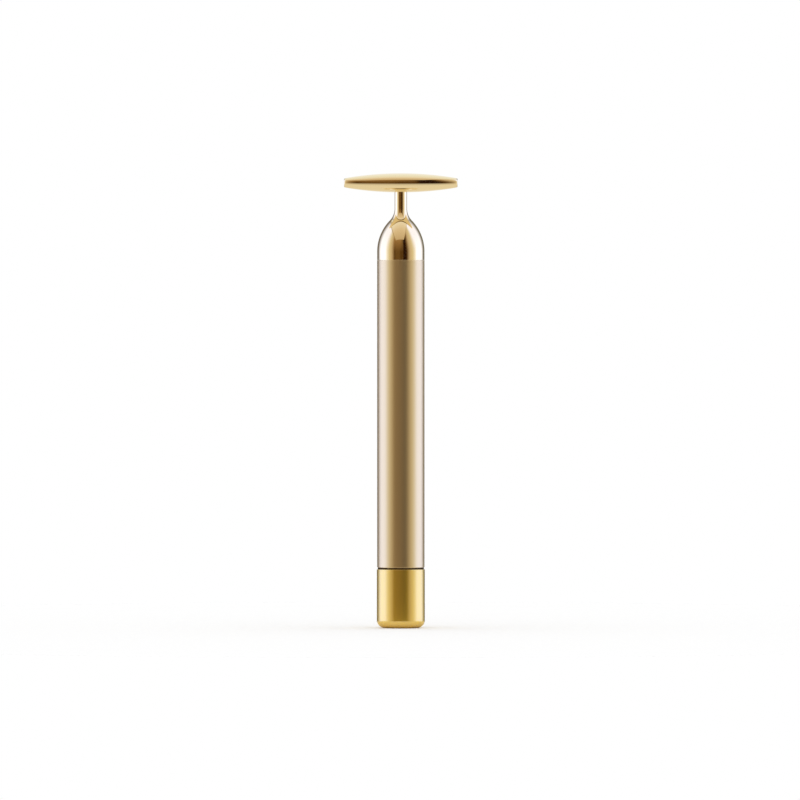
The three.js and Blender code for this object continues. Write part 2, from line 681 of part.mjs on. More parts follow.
// Outside: skirt, one convex arc, a hollow fillet and the neck; inside: bore, ceiling and screw hole
function makeFrontDome() {
  const skirtTop = barrelTop + DOME_SKIRT_H;
  const domeCentreR = handleR - DOME_ARC_R;
  const filletCentreR = neckR + NECK_FILLET_R;
  const across = filletCentreR - domeCentreR;
  const centreDistance = DOME_ARC_R + NECK_FILLET_R;
  const rise = Math.sqrt(centreDistance * centreDistance - across * across);
  const touch = Math.atan2(rise, across);
  const dome = arc(domeCentreR, skirtTop, DOME_ARC_R, 0, touch, 2 * ARC_STEPS);
  const fillet = arc(filletCentreR, skirtTop + rise, NECK_FILLET_R, Math.PI + touch, Math.PI);
  const spigotOuterR = upperR - FIT;
  const spigotZ = barrelTop - DOME_SPIGOT_L;
  const grooveTop = barrelTop - O_RING_SETBACK + O_RING_GROOVE_W / 2;
  const grooveZ = grooveTop - O_RING_GROOVE_W;
  const grooveR = spigotOuterR - O_RING_GROOVE_DEPTH;
  const spigot = [
    [domeBoreR, spigotZ],
    [spigotOuterR, spigotZ],
    [spigotOuterR, grooveZ],
    [grooveR, grooveZ],
    [grooveR, grooveTop],
    [spigotOuterR, grooveTop],
    [spigotOuterR, domeZ],
    [handleR, domeZ],
  ];
  const holeR = HEAD_SCREW_R + FIT;
  const inside = [
    [neckR, neckTop],
    [holeR, neckTop],
    [holeR, ceilingZ],
    [domeBoreR - DOME_TAPER, ceilingZ],
    [domeBoreR, ceilingZ - DOME_CEILING_H],
  ];
  piece('front_dome', turned([...spigot, ...dome, ...fillet.slice(1), ...inside], FINE), polishedGold);
  const cordR = O_RING_CORD / 2;
  const ringR = grooveR + HAIRLINE + cordR;
  const cord = arc(ringR, barrelTop - O_RING_SETBACK, cordR, 0, 2 * Math.PI, O_RING_SIDES).slice(1);
  piece('dome_o_ring', turned(cord, MEDIUM), blackRubber);
}

function makeHeadScrew() {
  const seatZ = ceilingZ - FIT;
  const bottomZ = seatZ - HEAD_SCREW_HEAD_H;
  const tipZ = neckTop + HEAD_SCREW_INTO_HEAD;
  const head = [[0, bottomZ], [HEAD_SCREW_HEAD_R, bottomZ], [HEAD_SCREW_HEAD_R, seatZ]];
  const shank = [[HEAD_SCREW_R, seatZ], [HEAD_SCREW_R, tipZ], [0, tipZ]];
  const hex = new THREE.CylinderGeometry(HEX_R, HEX_R, HEX_DEPTH + OVERRUN, HEX_SIDES).rotateX(Math.PI / 2);
  hex.translate(0, 0, bottomZ + (HEX_DEPTH - OVERRUN) / 2);
  piece('head_screw', geometryOf(solid(turned([...head, ...shank], COARSE)).subtract(solid(hex))), steel);
}

// A bar of superellipse sections, crowned above, bellied below and narrowing to blunt tips
function makeMassageHead() {
  const ball = new THREE.SphereGeometry(1, HEAD_SPOKES, HEAD_RINGS).rotateZ(Math.PI / 2);
  const at = closed(ball);
  const place = at.attributes.position;
  const halfL = HEAD_L / 2;
  const halfW = HEAD_W / 2;
  const signedPower = (value, power) => Math.sign(value) * Math.abs(value) ** power;
  for (let i = 0; i < place.count; i += 1) {
    const share = place.getX(i);
    const spin = Math.atan2(place.getZ(i), place.getY(i));
    const x = halfL * share;
    const end = Math.min(1, Math.abs(share));
    const fade = (1 - end ** TIP_POWER) ** (1 / TIP_POWER);
    const wide = halfW * (1 - (1 - TIP_W_SHARE) * share * share) * fade;
    const up = Math.sin(spin) > 0;
    const middleH = up ? CROWN_H : BELLY_H;
    const droop = (x * x) / (2 * (up ? CROWN_ARC_R : BELLY_ARC_R));
    const y = wide * signedPower(Math.cos(spin), 2 / SECTION_POWER);
    const z = (middleH - droop) * fade * signedPower(Math.sin(spin), 2 / SECTION_POWER);
    place.setXYZ(i, x, y, headEdgeZ + z);
  }
  const socketZ = headEdgeZ - BELLY_H - OVERRUN;
  const socketTop = neckTop + SLIP;
  const holeTop = neckTop + HEAD_SCREW_INTO_HEAD + SLIP;
  const socket = solid(disc(neckR + FIT, socketZ, socketTop - socketZ, MEDIUM));
  const hole = solid(disc(HEAD_SCREW_R + FIT, socketZ, holeTop - socketZ, COARSE));
  piece('massage_head', geometryOf(solid(at).subtract(socket).subtract(hole)), polishedGold);
}

function lead(name, points, material) {
  const route = new THREE.CatmullRomCurve3(points.map((point) => new THREE.Vector3(...point)));
  const section = new THREE.Shape();
  for (let i = 0; i < LEAD_SIDES; i += 1) {
    const angle = (2 * Math.PI * i) / LEAD_SIDES;
    const corner = [(LEAD_D / 2) * Math.cos(angle), (LEAD_D / 2) * Math.sin(angle)];
    if (i === 0) section.moveTo(...corner);
    else section.lineTo(...corner);
  }
  section.closePath();
  const cord = new THREE.ExtrudeGeometry(section, { steps: LEAD_STEPS, extrudePath: route });
  piece(name, closed(cord), material);
}

// Both leads rise through the chassis channels to the motor's terminals
function makeLeads() {
  const studSide = STUD_R + FIT + LEAD_D / 2;
  const soldered = terminalInnerX + TERMINAL_T + FIT + LEAD_D / 2;
  const middle = terminalY + terminalW / 2;
  const rise = (side) => [
    [side * channelX, 0, lowerRoomTop - LEAD_D / 2],
    [side * channelX, 0, lowerRoomTop + 2 * LEAD_D],
    [side * channelX, 0, upperRoomZ - 2 * LEAD_D],
    [side * channelX, 0, upperRoomZ + LEAD_D / 2],
    [side * soldered, side * middle, terminalZ],
    [side * soldered, side * middle, terminalZ + LEAD_D],
  ];
  const studZ = carrierTop + STUD_PROUD / 2;
  const red = [[-studSide, 0, studZ], [-studSide - LEAD_D / 4, 0, studZ + LEAD_D], ...rise(-1)];
  const onLeaf = leafZ + LEAF_T + FIT + LEAD_D / 2;
  const leafY = leafOuterY - LEAF_REACH;
  const black = [[0, leafY + LEAD_D / 2, onLeaf], [LEAD_D, leafY - LEAD_D, onLeaf], ...rise(1)];
  lead('red_lead', red, redLeadFinish);
  lead('black_lead', black, blackLeadFinish);
}

makeTailCap();
makeCapInsert();
makeSealRing();
makeTailSpring();
makeCell();
makeBarrel();
makeContacts();
makeGroundContact();
makeChassis();
makeChassisScrews();
makeMotorBody();
makeRotor();
makeFrontDome();
makeHeadScrew();
makeMassageHead();
makeLeads();

export default bar;
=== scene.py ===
import json
import math

import bmesh
import bpy
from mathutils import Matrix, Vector


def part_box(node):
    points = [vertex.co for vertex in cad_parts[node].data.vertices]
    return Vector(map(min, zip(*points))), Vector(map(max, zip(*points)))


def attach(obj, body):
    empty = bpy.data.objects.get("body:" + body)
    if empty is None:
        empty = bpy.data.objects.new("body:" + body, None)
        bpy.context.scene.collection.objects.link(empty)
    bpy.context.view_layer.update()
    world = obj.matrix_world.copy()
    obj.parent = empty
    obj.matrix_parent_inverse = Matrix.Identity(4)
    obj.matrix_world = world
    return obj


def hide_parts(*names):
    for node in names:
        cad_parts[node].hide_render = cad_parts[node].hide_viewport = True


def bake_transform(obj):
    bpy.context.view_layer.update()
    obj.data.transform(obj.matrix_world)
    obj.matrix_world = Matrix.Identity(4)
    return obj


# A vibrating beauty bar standing on its tail cap: polished gold head and dome, satin gold barrel,
# semi-gloss gold cap. Metres, +Z up, the camera on the -Y side.

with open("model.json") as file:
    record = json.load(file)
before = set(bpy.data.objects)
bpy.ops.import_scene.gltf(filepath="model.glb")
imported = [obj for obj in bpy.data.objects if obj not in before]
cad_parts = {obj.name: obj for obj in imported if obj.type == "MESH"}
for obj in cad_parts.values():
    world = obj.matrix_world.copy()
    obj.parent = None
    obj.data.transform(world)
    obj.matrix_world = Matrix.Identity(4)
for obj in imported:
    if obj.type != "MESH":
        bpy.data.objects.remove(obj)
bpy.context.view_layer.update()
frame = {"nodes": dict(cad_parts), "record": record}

MM = 0.001

# Facets
AROUND = 160
ARC_STEPS = 20
BREAK_STEPS = 4
BULGE_STEPS = 12
DOME_STEPS = 72
FILLET_STEPS = 48
HOLE_AROUND = 96
THREAD_AROUND = 320
ROWS_PER_MM = 12
SHARP_DEGREES = 32
WIRE_SHARP_DEGREES = 50

# Small sizes that many forms share, as in the CAD source
TINY = 0.02 * MM
HAIRLINE = 0.05 * MM
FIT = 0.1 * MM
SLIP = 0.2 * MM
OVERRUN = 1 * MM
EDGE_BREAK = 0.1 * MM

# Extra points near the ends of every line of a profile that is longer than LONG_LINE
SUPPORT = 0.15 * MM
LONG_LINE = 4 * SUPPORT

# Barrel
BARREL_EDGE_R = 0.15 * MM
BAY_BORE_R = 7.5 * MM
UPPER_BORE_R = 7.7 * MM

# Tail cap and its insert. The rim's bevel is CAP_CHAMFER high and CAP_LIP wide, and the rim and
# the ring's low edge lie CAP_RIM_DROP lower than the CAD's, which widens the black line.
CAP_CORNER_R = 2.6 * MM
CAP_CHAMFER = 0.2 * MM
CAP_LIP = 0.06 * MM
CAP_RIM_DROP = 0.12 * MM
CAP_SOLID_H = 11.6 * MM
CAP_BORE_R = 7.2 * MM
SPIGOT_R = 7.3 * MM
SPRING_WELL_R = 5.6 * MM
INSERT_FLOOR = 2 * MM
RING_BULGE = 0.05 * MM

# Thread: the ridge on the spigot and the groove in the barrel's mouth
THREAD_PITCH = 1.5 * MM
THREAD_START = 0.8 * MM
THREAD_TURNS = 3
RIDGE_H = 0.4 * MM
RIDGE_ROOT_W = 0.7 * MM
RIDGE_CREST_W = 0.35 * MM
THREAD_SIDE_PLAY = 0.13 * MM
GROOVE_DEPTH = 0.4 * MM
GROOVE_TURNS = 3.2
RUN_IN_TURNS = 0.25

# Tail spring
WIRE_R = 0.4 * MM
SPRING_FOOT_R = 4.6 * MM
SPRING_TOP_SHARE = 0.7
SPRING_TURNS = 7
SPRING_STEPS_PER_TURN = 36
SPRING_SIDES = 14

# Dome and neck
DOME_SKIRT_H = 3 * MM
DOME_ARC_R = 15.5 * MM
NECK_R = 2.15 * MM
NECK_FILLET_R = 6 * MM
NECK_TOP_ABOVE_BARREL = 24.8 * MM
DOME_SPIGOT_L = 5.5 * MM
DOME_BORE_R = 6.2 * MM
DOME_BORE_L = 8 * MM
DOME_CEILING_R = 4.4 * MM
DOME_CEILING_H = 5.7 * MM
O_RING_SETBACK = 2.8 * MM
O_RING_GROOVE_W = 1.1 * MM
O_RING_GROOVE_DEPTH = 0.7 * MM
SCREW_HOLE_R = 1.1 * MM

# Massage head: a crown and a belly on one band of greatest width, the edge
HEAD_EDGE_ABOVE_BARREL = 27.05 * MM
CROWN_H = 3.21 * MM
CROWN_ARC_R = 111 * MM
BELLY_H = 3.49 * MM
BELLY_ARC_R = 115 * MM
SECTION_POWER = 2.4
TIP_W_SHARE = 0.4
TIP_POWER = 24
HEAD_RINGS = 200
HEAD_SPOKES = 160
SCREW_INTO_HEAD = 3.1 * MM

# Places, from the boxes of the frame's nodes
BARREL_LOW, BARREL_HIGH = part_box("barrel")
CAP_R, _, CAP_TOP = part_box("tail_cap")[1]
INSERT_LOW, INSERT_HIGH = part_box("cap_insert")
RING_LOW, RING_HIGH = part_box("seal_ring")
HEAD_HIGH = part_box("massage_head")[1]
SPRING_LOW, SPRING_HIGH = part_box("tail_spring")
CARRIER_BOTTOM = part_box("contact_carrier")[0][2]
HANDLE_R = BARREL_HIGH[0]
BARREL_BOTTOM = BARREL_LOW[2]
BARREL_TOP = BARREL_HIGH[2]
HALF_HEAD_L = HEAD_HIGH[0]
HALF_HEAD_W = HEAD_HIGH[1]
HEAD_EDGE_Z = BARREL_TOP + HEAD_EDGE_ABOVE_BARREL
NECK_TOP = BARREL_TOP + NECK_TOP_ABOVE_BARREL


# Meshes

def finish_mesh(name, bm, sharp_degrees=SHARP_DEGREES):
    bmesh.ops.recalc_face_normals(bm, faces=bm.faces)
    mesh = bpy.data.meshes.new(name)
    bm.to_mesh(mesh)
    bm.free()
    mesh.shade_smooth()
    mesh.set_sharp_from_angle(angle=math.radians(sharp_degrees))
    return mesh


def bridge(bm, lower, upper):
    """Faces between two rings of as many places; a ring that is one point gives triangles."""
    for i in range(len(lower)):
        j = (i + 1) % len(lower)
        corners = []
        for vert in (lower[i], lower[j], upper[j], upper[i]):
            if vert not in corners:
                corners.append(vert)
        if len(corners) > 2:
            bm.faces.new(corners)


def arc(centre_r, centre_z, radius, start, end, steps=ARC_STEPS):
    """Points (radius, height) of a circular arc, angles in radians."""
    angles = [start + (end - start) * i / steps for i in range(steps + 1)]
    return [(centre_r + radius * math.cos(a), centre_z + radius * math.sin(a)) for a in angles]


def circle(radius, steps):
    """Points of a full circle, each once."""
    return arc(0, 0, radius, 0, 2 * math.pi, steps)[:-1]


def broken(corner, before, after, size=EDGE_BREAK):
    """A corner of a profile with its edge rounded: the curve from one side to the other."""
    corner, before, after = (Vector(point) for point in (corner, before, after))
    start = corner + (before - corner).normalized() * size
    end = corner + (after - corner).normalized() * size
    points = []
    for i in range(BREAK_STEPS + 1):
        t = i / BREAK_STEPS
        points.append(tuple(start * (1 - t) ** 2 + corner * 2 * t * (1 - t) + end * t ** 2))
    return points


def supported(profile):
    """The profile with a point near each end of every long line, which keeps shading straight."""
    closed = profile[0][0] >= TINY
    follow = profile[1:] + (profile[:1] if closed else [])
    points = []
    for start, end in zip(profile, follow):
        points.append(start)
        along = Vector(end) - Vector(start)
        if along.length > LONG_LINE:
            step = along.normalized() * SUPPORT
            points += [tuple(Vector(start) + step), tuple(Vector(end) - step)]
    return points if closed else [*points, profile[-1]]


def turned(name, profile, relief=None, around=AROUND):
    """A solid of revolution from a profile of (radius, height), with an optional
    relief(radius, height, angle) that moves a point outward. An open profile starts and ends
    on the axis."""
    bm = bmesh.new()
    rings = []
    for r, z in supported(profile):
        if r < TINY:
            rings.append([bm.verts.new((0, 0, z))] * around)
            continue
        ring = []
        for i in range(around):
            angle = 2 * math.pi * i / around
            out = r + (relief(r, z, angle) if relief else 0)
            ring.append(bm.verts.new((out * math.cos(angle), out * math.sin(angle), z)))
        rings.append(ring)
    pairs = list(zip(rings, rings[1:]))
    if profile[0][0] >= TINY:
        pairs.append((rings[-1], rings[0]))
    for lower, upper in pairs:
        bridge(bm, lower, upper)
    return finish_mesh(name, bm)


def cap_mesh():
    corner = arc(CAP_R - CAP_CORNER_R, CAP_CORNER_R, CAP_CORNER_R, -math.pi / 2, 0)
    top = CAP_TOP - CAP_RIM_DROP
    shoulder = (CAP_R, top - CAP_CHAMFER)
    rim = (CAP_R - CAP_LIP, top)
    mouth = (CAP_BORE_R, top)
    profile = [(0, 0), *corner]
    profile += broken(shoulder, corner[-1], rim)
    profile += broken(rim, shoulder, mouth, size=HAIRLINE)
    profile += [mouth, (CAP_BORE_R, CAP_SOLID_H), (0, CAP_SOLID_H)]
    return turned("tail_cap_shell", profile)


def clamped(value):
    return max(0, min(1, value))


def thread_share(z, angle, turns, root_w, crest_w):
    """How full the right-hand thread's section is at one point, and the turns to either end."""
    share_of_turn = angle / (2 * math.pi)
    along = (z - BARREL_BOTTOM - THREAD_START) / THREAD_PITCH
    nearest = round(along - share_of_turn) + share_of_turn
    off = abs(along - nearest) * THREAD_PITCH
    flank = (root_w / 2 - off) / ((root_w - crest_w) / 2)
    return clamped(flank), nearest, turns - nearest


def ridge_height(r, z, angle):
    """How far the thread stands proud of the spigot."""
    if r < SPIGOT_R - TINY or z < BARREL_BOTTOM:
        return 0
    full, from_start, to_end = thread_share(z, angle, THREAD_TURNS, RIDGE_ROOT_W, RIDGE_CREST_W)
    return RIDGE_H * full * clamped(min(from_start, to_end) / RUN_IN_TURNS)


def groove_depth(r, z, angle):
    """How deep the thread is cut into the barrel's mouth."""
    if abs(r - BAY_BORE_R) > TINY:
        return 0
    root_w = RIDGE_ROOT_W + 2 * THREAD_SIDE_PLAY
    crest_w = RIDGE_CREST_W + 2 * THREAD_SIDE_PLAY
    full, _, to_end = thread_share(z, angle, GROOVE_TURNS, root_w, crest_w)
    return GROOVE_DEPTH * full * clamped(to_end / RUN_IN_TURNS)


def rows(r, low, high):
    """Points of a straight wall, close enough to carry the thread."""
    count = max(1, round((high - low) / MM * ROWS_PER_MM))
    return [(r, low + (high - low) * i / count) for i in range(count)]


def insert_mesh():
    bottom, top = INSERT_LOW[2], INSERT_HIGH[2]
    plug_r = CAP_BORE_R - FIT
    shoulder = CAP_TOP + FIT
    profile = [(0, bottom), (plug_r, bottom), (plug_r, shoulder)]
    profile += rows(SPIGOT_R, shoulder, top - EDGE_BREAK)
    profile += broken((SPIGOT_R, top), (SPIGOT_R, shoulder), (SPRING_WELL_R, top))
    profile += broken((SPRING_WELL_R, top), (SPIGOT_R, top), (SPRING_WELL_R, bottom))
    profile += [(SPRING_WELL_R, bottom + INSERT_FLOOR), (0, bottom + INSERT_FLOOR)]
    return turned("cap_insert_fine", profile, relief=ridge_height, around=THREAD_AROUND)


def ring_mesh():
    inner, outer = SPIGOT_R + FIT, RING_HIGH[0]
    low, high = RING_LOW[2] - CAP_RIM_DROP, RING_HIGH[2]
    middle, half = (low + high) / 2, (high - low) / 2
    bulge = []
    for out, up in arc(0, 0, 1, -math.pi / 2, math.pi / 2, BULGE_STEPS):
        bulge.append((outer - RING_BULGE * (1 - out), middle + half * up))
    return turned("seal_ring_fine", [(inner, low), *bulge, (inner, high)])


def barrel_mesh():
    bay_top = CARRIER_BOTTOM - HAIRLINE
    centre = (HANDLE_R - BARREL_EDGE_R, BARREL_BOTTOM + BARREL_EDGE_R)
    edge = arc(*centre, BARREL_EDGE_R, -math.pi / 2, 0)
    top_edge = (HANDLE_R, BARREL_TOP)
    thread_top = BARREL_BOTTOM + THREAD_START + (GROOVE_TURNS + 1) * THREAD_PITCH
    profile = [*edge]
    profile += broken(top_edge, edge[-1], (UPPER_BORE_R, BARREL_TOP), size=HAIRLINE)
    profile += [(UPPER_BORE_R, BARREL_TOP), (UPPER_BORE_R, bay_top), (BAY_BORE_R, bay_top)]
    profile += reversed(rows(BAY_BORE_R, BARREL_BOTTOM, thread_top))
    return turned("barrel_tube", profile, relief=groove_depth)


def dome_mesh():
    """Skirt, one convex arc, a hollow fillet and the neck; inside, bore, ceiling and screw hole."""
    skirt_top = BARREL_TOP + DOME_SKIRT_H
    dome_r = HANDLE_R - DOME_ARC_R
    fillet_r = NECK_R + NECK_FILLET_R
    across = fillet_r - dome_r
    rise = math.sqrt((DOME_ARC_R + NECK_FILLET_R) ** 2 - across ** 2)
    touch = math.atan2(rise, across)
    fillet_z = skirt_top + rise
    spigot_r = UPPER_BORE_R - FIT
    groove_r = spigot_r - O_RING_GROOVE_DEPTH
    groove_top = BARREL_TOP - O_RING_SETBACK + O_RING_GROOVE_W / 2
    groove_bottom = groove_top - O_RING_GROOVE_W
    face = BARREL_TOP + HAIRLINE
    foot = BARREL_TOP - DOME_SPIGOT_L
    ceiling = foot + DOME_BORE_L + DOME_CEILING_H
    profile = [(DOME_BORE_R, foot), (spigot_r, foot)]
    profile += [(spigot_r, groove_bottom), (groove_r, groove_bottom)]
    profile += [(groove_r, groove_top), (spigot_r, groove_top), (spigot_r, face)]
    profile += broken((HANDLE_R, face), (spigot_r, face), (HANDLE_R, skirt_top), size=HAIRLINE)
    profile += arc(dome_r, skirt_top, DOME_ARC_R, 0, touch, DOME_STEPS)
    fillet = arc(fillet_r, fillet_z, NECK_FILLET_R, math.pi + touch, math.pi, FILLET_STEPS)
    profile += fillet[1:]
    profile += [(NECK_R, NECK_TOP), (SCREW_HOLE_R, NECK_TOP), (SCREW_HOLE_R, ceiling)]
    profile += [(DOME_CEILING_R, ceiling), (DOME_BORE_R, foot + DOME_BORE_L)]
    return turned("front_dome_fine", profile)


def signed_power(value, power):
    return math.copysign(abs(value) ** power, value)


def head_point(share, spin):
    """A point of the head: share runs from tip to tip, spin round the section."""
    fade = (1 - abs(share) ** TIP_POWER) ** (1 / TIP_POWER)
    wide = HALF_HEAD_W * (1 - (1 - TIP_W_SHARE) * share * share) * fade
    x = HALF_HEAD_L * share
    up = math.sin(spin) > 0
    middle = CROWN_H if up else BELLY_H
    droop = x * x / (2 * (CROWN_ARC_R if up else BELLY_ARC_R))
    power = 2 / SECTION_POWER
    y = wide * signed_power(math.cos(spin), power)
    z = (middle - droop) * fade * signed_power(math.sin(spin), power)
    return x, y, HEAD_EDGE_Z + z


def head_mesh():
    bm = bmesh.new()
    rings = []
    for i in range(1, HEAD_RINGS):
        share = -math.cos(math.pi * i / HEAD_RINGS)
        spins = [2 * math.pi * k / HEAD_SPOKES for k in range(HEAD_SPOKES)]
        rings.append([bm.verts.new(head_point(share, spin)) for spin in spins])
    tips = [bm.verts.new((side * HALF_HEAD_L, 0, HEAD_EDGE_Z)) for side in (-1, 1)]
    for lower, upper in zip(rings, rings[1:]):
        bridge(bm, lower, upper)
    for tip, ring in zip(tips, (rings[0], rings[-1])):
        bridge(bm, ring, [tip] * HEAD_SPOKES)
    return finish_mesh("massage_head_fine", bm)


def drill(piece, cutters):
    """Cuts turned holes into a piece and applies the cuts."""
    for i, profile in enumerate(cutters):
        tool_mesh = turned(f"drill_{i}", profile, around=HOLE_AROUND)
        tool = bpy.data.objects.new(f"drill_{i}", tool_mesh)
        bpy.context.scene.collection.objects.link(tool)
        cut = piece.modifiers.new(f"hole_{i}", "BOOLEAN")
        cut.operation = "DIFFERENCE"
        cut.solver = "EXACT"
        cut.object = tool
        with bpy.context.temp_override(object=piece, active_object=piece, selected_objects=[piece]):
            bpy.ops.object.modifier_apply(modifier=cut.name)
        bpy.data.objects.remove(tool)


def drill_head(head):
    """The socket for the neck and, above it, the tapped hole for the hidden screw."""
    belly = HEAD_EDGE_Z - BELLY_H - OVERRUN
    socket_r, socket_top = NECK_R + FIT, NECK_TOP + SLIP
    tapped_top = socket_top + SCREW_INTO_HEAD
    socket = [(0, belly), (socket_r, belly), (socket_r, socket_top), (0, socket_top)]
    tapped = [(0, belly), (SCREW_HOLE_R, belly), (SCREW_HOLE_R, tapped_top), (0, tapped_top)]
    drill(head, [socket, tapped])


def spring_mesh():
    """One unbroken round wire, narrowing upwards."""
    low, high = SPRING_LOW[2] + WIRE_R, SPRING_HIGH[2] - WIRE_R
    steps = SPRING_TURNS * SPRING_STEPS_PER_TURN
    bm = bmesh.new()
    rings = []
    for i in range(steps + 1):
        share = i / steps
        angle = 2 * math.pi * share * SPRING_TURNS
        out = Vector((math.cos(angle), math.sin(angle), 0))
        r = SPRING_FOOT_R * (1 + (SPRING_TOP_SHARE - 1) * share)
        centre = out * r + Vector((0, 0, low + (high - low) * share))
        ring = []
        for across, up in circle(WIRE_R, SPRING_SIDES):
            ring.append(bm.verts.new(centre + out * across + Vector((0, 0, up))))
        rings.append(ring)
    for lower, upper in zip(rings, rings[1:]):
        bridge(bm, lower, upper)
    bm.faces.new(rings[0])
    bm.faces.new(rings[-1])
    return finish_mesh("tail_spring_wire", bm, WIRE_SHARP_DEGREES)


# Node groups and materials

# The colour sockets of a Mix node, whose names its other sockets have too
MIX_A, MIX_B, MIX_RESULT = 6, 7, 2

GRAIN_DETAIL = 3
SHEEN_DETAIL = 4
TONE_DETAIL = 3
PATCHES_PER_METRE = 70
NOISE_MIDDLE = 0.5


def group(name, inputs, outputs):
    """A node group with named sockets: its tree, its input node and its output node."""
    tree = bpy.data.node_groups.new(name, "ShaderNodeTree")
    for label, kind, default in inputs:
        socket = tree.interface.new_socket(label, in_out="INPUT", socket_type=kind)
        socket.default_value = default
    for label, kind in outputs:
        tree.interface.new_socket(label, in_out="OUTPUT", socket_type=kind)
    return tree, tree.nodes.new("NodeGroupInput"), tree.nodes.new("NodeGroupOutput")


def maths(tree, operation, *values):
    node = tree.nodes.new("ShaderNodeMath")
    node.operation = operation
    for socket, value in zip(node.inputs, values):
        if isinstance(value, (int, float)):
            socket.default_value = value
        else:
            tree.links.new(value, socket)
    return node.outputs[0]


def mix_colours(tree, factor, base, top):
    """Base colour where the factor is 0, top where it is 1; either may be a socket."""
    mix = tree.nodes.new("ShaderNodeMix")
    mix.data_type = "RGBA"
    tree.links.new(factor, mix.inputs["Factor"])
    for socket, colour in ((mix.inputs[MIX_A], base), (mix.inputs[MIX_B], top)):
        if isinstance(colour, tuple):
            socket.default_value = (*colour, 1)
        else:
            tree.links.new(colour, socket)
    return mix.outputs[MIX_RESULT]


def noise_over_surface(tree, scale, detail):
    place = tree.nodes.new("ShaderNodeTexCoord")
    noise = tree.nodes.new("ShaderNodeTexNoise")
    noise.inputs["Detail"].default_value = detail
    tree.links.new(place.outputs["Object"], noise.inputs["Vector"])
    tree.links.new(scale, noise.inputs["Scale"])
    return noise.outputs["Fac"]


def make_grain_group():
    """Fine even grain, as of blasted or moulded surfaces: a height for a Bump node."""
    tree, inside, outside = group(
        "fine_grain",
        [("Grain per Metre", "NodeSocketFloat", 4000)],
        [("Height", "NodeSocketFloat")],
    )
    grain = noise_over_surface(tree, inside.outputs["Grain per Metre"], GRAIN_DETAIL)
    tree.links.new(grain, outside.inputs["Height"])
    return tree


def make_handling_group():
    """Faint uneven sheen from handling: a roughness round a middle value."""
    tree, inside, outside = group(
        "handled_sheen",
        [
            ("Middle Roughness", "NodeSocketFloat", 0.2),
            ("Unevenness", "NodeSocketFloat", 0.02),
            ("Patches per Metre", "NodeSocketFloat", 90),
        ],
        [("Roughness", "NodeSocketFloat")],
    )
    patches = noise_over_surface(tree, inside.outputs["Patches per Metre"], SHEEN_DETAIL)
    centred = maths(tree, "SUBTRACT", patches, NOISE_MIDDLE)
    spread = maths(tree, "MULTIPLY", centred, inside.outputs["Unevenness"])
    sheen = maths(tree, "ADD", spread, inside.outputs["Middle Roughness"])
    tree.links.new(sheen, outside.inputs["Roughness"])
    return tree


def make_tone_group():
    """Slight drift of a colour over a surface, between two close tones."""
    tree, inside, outside = group(
        "tone_drift",
        [
            ("Tone", "NodeSocketColor", (0.8, 0.8, 0.8, 1)),
            ("Second Tone", "NodeSocketColor", (0.7, 0.7, 0.7, 1)),
            ("Patches per Metre", "NodeSocketFloat", 60),
        ],
        [("Color", "NodeSocketColor")],
    )
    patches = noise_over_surface(tree, inside.outputs["Patches per Metre"], TONE_DETAIL)
    drift = mix_colours(tree, patches, inside.outputs["Tone"], inside.outputs["Second Tone"])
    tree.links.new(drift, outside.inputs["Color"])
    return tree


GRAIN = make_grain_group()
HANDLING = make_handling_group()
TONE = make_tone_group()


def place_group(tree, source, **values):
    node = tree.nodes.new("ShaderNodeGroup")
    node.node_tree = source
    for label, value in values.items():
        node.inputs[label.replace("_", " ")].default_value = value
    return node


def surface(name, tone, second, metallic, roughness, unevenness, grain, depth, **extras):
    """A material with drifting tone, uneven sheen and grain of its own: so many grains per metre,
    so many metres deep. Extras are inputs of the shader."""
    material = bpy.data.materials.new(name)
    material.use_nodes = True
    tree = material.node_tree
    shader = tree.nodes["Principled BSDF"]
    shader.inputs["Metallic"].default_value = metallic
    for label, value in extras.items():
        shader.inputs[label.replace("_", " ")].default_value = value
    colour = place_group(
        tree, TONE, Tone=(*tone, 1), Second_Tone=(*second, 1), Patches_per_Metre=PATCHES_PER_METRE)
    tree.links.new(colour.outputs["Color"], shader.inputs["Base Color"])
    sheen = place_group(
        tree, HANDLING, Middle_Roughness=roughness, Unevenness=unevenness,
        Patches_per_Metre=PATCHES_PER_METRE)
    tree.links.new(sheen.outputs["Roughness"], shader.inputs["Roughness"])
    height = place_group(tree, GRAIN, Grain_per_Metre=grain)
    bump = tree.nodes.new("ShaderNodeBump")
    bump.inputs["Distance"].default_value = depth
    tree.links.new(height.outputs["Height"], bump.inputs["Height"])
    tree.links.new(bump.outputs["Normal"], shader.inputs["Normal"])
    return material


